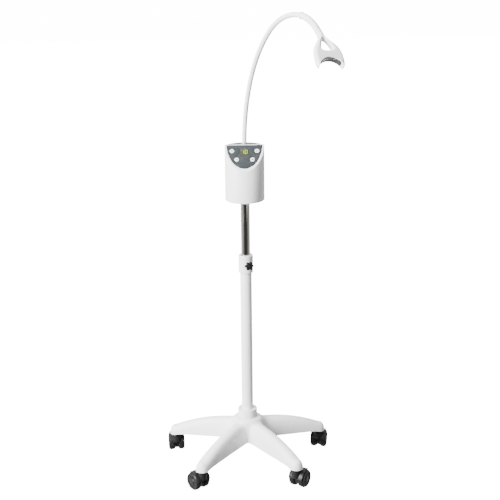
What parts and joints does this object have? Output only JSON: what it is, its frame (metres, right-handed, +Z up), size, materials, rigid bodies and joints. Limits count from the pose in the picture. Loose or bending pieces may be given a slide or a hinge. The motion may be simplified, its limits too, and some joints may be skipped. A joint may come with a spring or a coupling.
{
  "type": "mobile led whitening lamp",
  "caption": "Mobile LED light for tooth whitening on a five-star caster stand, with a height-adjustable pole, a control box with keys and display, and a gooseneck with an arc-shaped lamp head",
  "frame": {"origin": "on the pole axis at floor level, under the middle of the star base", "axes": "+Z up along the pole, -Y the front that the sloping control face looks to, +X to the right seen from the front"},
  "size_m": [0.4727, 0.6585, 1.2836],
  "materials": {
    "white_nylon": "moulded white nylon, fine grain",
    "white_plastic": "moulded white ABS, satin gloss",
    "white_paint": "white powder coat on steel",
    "grey_nylon": "grey nylon bush",
    "steel": "plain turned steel",
    "chrome": "polished chrome plate",
    "black_plastic": "black moulded plastic",
    "wheel_black": "black nylon wheel",
    "slate_plate": "slate grey printed face plate",
    "grey_cap": "mid-grey moulded cap",
    "window": "smoked olive window",
    "board": "green circuit board",
    "button_white": "white key cap",
    "sleeve_white": "soft white sleeve",
    "led": "light-emitting diode lens",
    "clear_window": "clear curved window",
    "aluminium": "plain aluminium heat sink"
  },
  "bodies": {
    "base": {"star_base": "white_nylon", "stem_sockets": "grey_nylon", "hub_ring": "white_plastic", "outer_tube": "white_paint", "stand_fasteners": "steel", "lock_collar": "white_plastic", "upper_bush": "grey_nylon"},
    "lock_knob": {"star_knob": "black_plastic", "clamp_screw": "steel"},
    "slider": {"lower_bush": "grey_nylon"},
    "column": {"inner_tube": "chrome", "tube_socket": "white_plastic", "housing": "white_plastic", "face_plate": "slate_plate", "display_window": "window", "display_module": "black_plastic", "main_board": "board", "top_cap": "grey_cap", "neck_ferrule": "steel", "power_inlet": "black_plastic", "box_screws": "steel"},
    "power_key": {"button_power": "button_white"},
    "start_key": {"button_start": "button_white"},
    "minus_key": {"button_minus": "button_white"},
    "plus_key": {"button_plus": "button_white"},
    "caster_1": {"caster_hood_1": "black_plastic", "caster_pins_1": "steel"},
    "wheel_l_1": {"wheel_left_1": "wheel_black"},
    "wheel_r_1": {"wheel_right_1": "wheel_black"},
    "caster_2": {"caster_hood_2": "black_plastic", "caster_pins_2": "steel"},
    "wheel_l_2": {"wheel_left_2": "wheel_black"},
    "wheel_r_2": {"wheel_right_2": "wheel_black"},
    "caster_3": {"caster_hood_3": "black_plastic", "caster_pins_3": "steel"},
    "wheel_l_3": {"wheel_left_3": "wheel_black"},
    "wheel_r_3": {"wheel_right_3": "wheel_black"},
    "caster_4": {"caster_hood_4": "black_plastic", "caster_pins_4": "steel"},
    "wheel_l_4": {"wheel_left_4": "wheel_black"},
    "wheel_r_4": {"wheel_right_4": "wheel_black"},
    "caster_5": {"caster_hood_5": "black_plastic", "caster_pins_5": "steel"},
    "wheel_l_5": {"wheel_left_5": "wheel_black"},
    "wheel_r_5": {"wheel_right_5": "wheel_black"},
    "neck_1": {"neck_link_1": "steel", "neck_sleeve_1": "sleeve_white"},
    "neck_2": {"neck_link_2": "steel", "neck_sleeve_2": "sleeve_white"},
    "neck_3": {"neck_link_3": "steel", "neck_sleeve_3": "sleeve_white"},
    "head": {"head_stem": "steel", "head_boot": "sleeve_white", "front_shell": "white_plastic", "back_shell": "white_plastic", "led_board": "board", "leds": "led", "led_window": "clear_window", "heat_sink": "aluminium", "head_screws": "steel"}
  },
  "joints": [
    {"name": "knob_turn", "type": "hinge", "parent": "base", "child": "lock_knob", "pos_m": [0.00912, -0.02647, 0.592], "axis": [0.3256, -0.9455, 0], "range_deg": [-180, 180]},
    {"name": "column_lift", "type": "slide", "parent": "base", "child": "slider", "axis": [0, 0, 1], "range_m": [-0.14, 0.16]},
    {"name": "column_turn", "type": "hinge", "parent": "slider", "child": "column", "pos_m": [0, 0, 0.3], "axis": [0, 0, 1], "range_deg": [-170, 170]},
    {"name": "press_power", "type": "slide", "parent": "column", "child": "power_key", "axis": [0, 0.7784, -0.6278], "range_m": [0, 0.0008], "stiffness_N_per_m": 2500, "springref_m": -0.0005},
    {"name": "press_start", "type": "slide", "parent": "column", "child": "start_key", "axis": [0, 0.7784, -0.6278], "range_m": [0, 0.0008], "stiffness_N_per_m": 2500, "springref_m": -0.0005},
    {"name": "press_minus", "type": "slide", "parent": "column", "child": "minus_key", "axis": [0, 0.7784, -0.6278], "range_m": [0, 0.0008], "stiffness_N_per_m": 2500, "springref_m": -0.0005},
    {"name": "press_plus", "type": "slide", "parent": "column", "child": "plus_key", "axis": [0, 0.7784, -0.6278], "range_m": [0, 0.0008], "stiffness_N_per_m": 2500, "springref_m": -0.0005},
    {"name": "swivel_1", "type": "hinge", "parent": "base", "child": "caster_1", "pos_m": [0.20518, 0.07065, 0.06], "axis": [0, 0, 1], "continuous": true},
    {"name": "spin_l_1", "type": "hinge", "parent": "caster_1", "child": "wheel_l_1", "pos_m": [0.20934, 0.09021, 0.025], "axis": [0.9781, -0.2079, 0], "continuous": true},
    {"name": "spin_r_1", "type": "hinge", "parent": "caster_1", "child": "wheel_r_1", "pos_m": [0.20934, 0.09021, 0.025], "axis": [0.9781, -0.2079, 0], "continuous": true},
    {"name": "swivel_2", "type": "hinge", "parent": "base", "child": "caster_2", "pos_m": [-0.00379, 0.21697, 0.06], "axis": [0, 0, 1], "continuous": true},
    {"name": "spin_l_2", "type": "hinge", "parent": "caster_2", "child": "wheel_l_2", "pos_m": [-0.00204, 0.23689, 0.025], "axis": [0.9962, -0.0872, 0], "continuous": true},
    {"name": "spin_r_2", "type": "hinge", "parent": "caster_2", "child": "wheel_r_2", "pos_m": [-0.00204, 0.23689, 0.025], "axis": [0.9962, -0.0872, 0], "continuous": true},
    {"name": "swivel_3", "type": "hinge", "parent": "base", "child": "caster_3", "pos_m": [-0.20752, 0.06345, 0.06], "axis": [0, 0, 1], "continuous": true},
    {"name": "spin_l_3", "type": "hinge", "parent": "caster_3", "child": "wheel_l_3", "pos_m": [-0.2103, 0.08325, 0.025], "axis": [0.9903, 0.1392, 0], "continuous": true},
    {"name": "spin_r_3", "type": "hinge", "parent": "caster_3", "child": "wheel_r_3", "pos_m": [-0.2103, 0.08325, 0.025], "axis": [0.9903, 0.1392, 0], "continuous": true},
    {"name": "swivel_4", "type": "hinge", "parent": "base", "child": "caster_4", "pos_m": [-0.12447, -0.17776, 0.06], "axis": [0, 0, 1], "continuous": true},
    {"name": "spin_l_4", "type": "hinge", "parent": "caster_4", "child": "wheel_l_4", "pos_m": [-0.13732, -0.16243, 0.025], "axis": [0.766, 0.6428, 0], "continuous": true},
    {"name": "spin_r_4", "type": "hinge", "parent": "caster_4", "child": "wheel_r_4", "pos_m": [-0.13732, -0.16243, 0.025], "axis": [0.766, 0.6428, 0], "continuous": true},
    {"name": "swivel_5", "type": "hinge", "parent": "base", "child": "caster_5", "pos_m": [0.13059, -0.1733, 0.06], "axis": [0, 0, 1], "continuous": true},
    {"name": "spin_l_5", "type": "hinge", "parent": "caster_5", "child": "wheel_l_5", "pos_m": [0.14119, -0.15634, 0.025], "axis": [0.848, -0.5299, 0], "continuous": true},
    {"name": "spin_r_5", "type": "hinge", "parent": "caster_5", "child": "wheel_r_5", "pos_m": [0.14119, -0.15634, 0.025], "axis": [0.848, -0.5299, 0], "continuous": true},
    {"name": "neck_sway", "type": "hinge", "parent": "column", "child": "neck_1", "pos_m": [0, 0.014, 0.934], "axis": [-0.4995, 0.8652, 0.0436], "range_deg": [-20, 20]},
    {"name": "neck_bend", "type": "hinge", "parent": "neck_1", "child": "neck_2", "pos_m": [0.01744, -0.01621, 1.09136], "axis": [0.866, 0.5, 0], "range_deg": [-25, 25]},
    {"name": "neck_side", "type": "hinge", "parent": "neck_2", "child": "neck_3", "pos_m": [0.06353, -0.09605, 1.22301], "axis": [-0.3378, 0.5851, 0.7373], "range_deg": [-25, 25]},
    {"name": "head_tilt", "type": "hinge", "parent": "neck_3", "child": "head", "pos_m": [0.13786, -0.22477, 1.27565], "axis": [0.866, 0.5, 0], "range_deg": [-28, 28]}
  ]
}
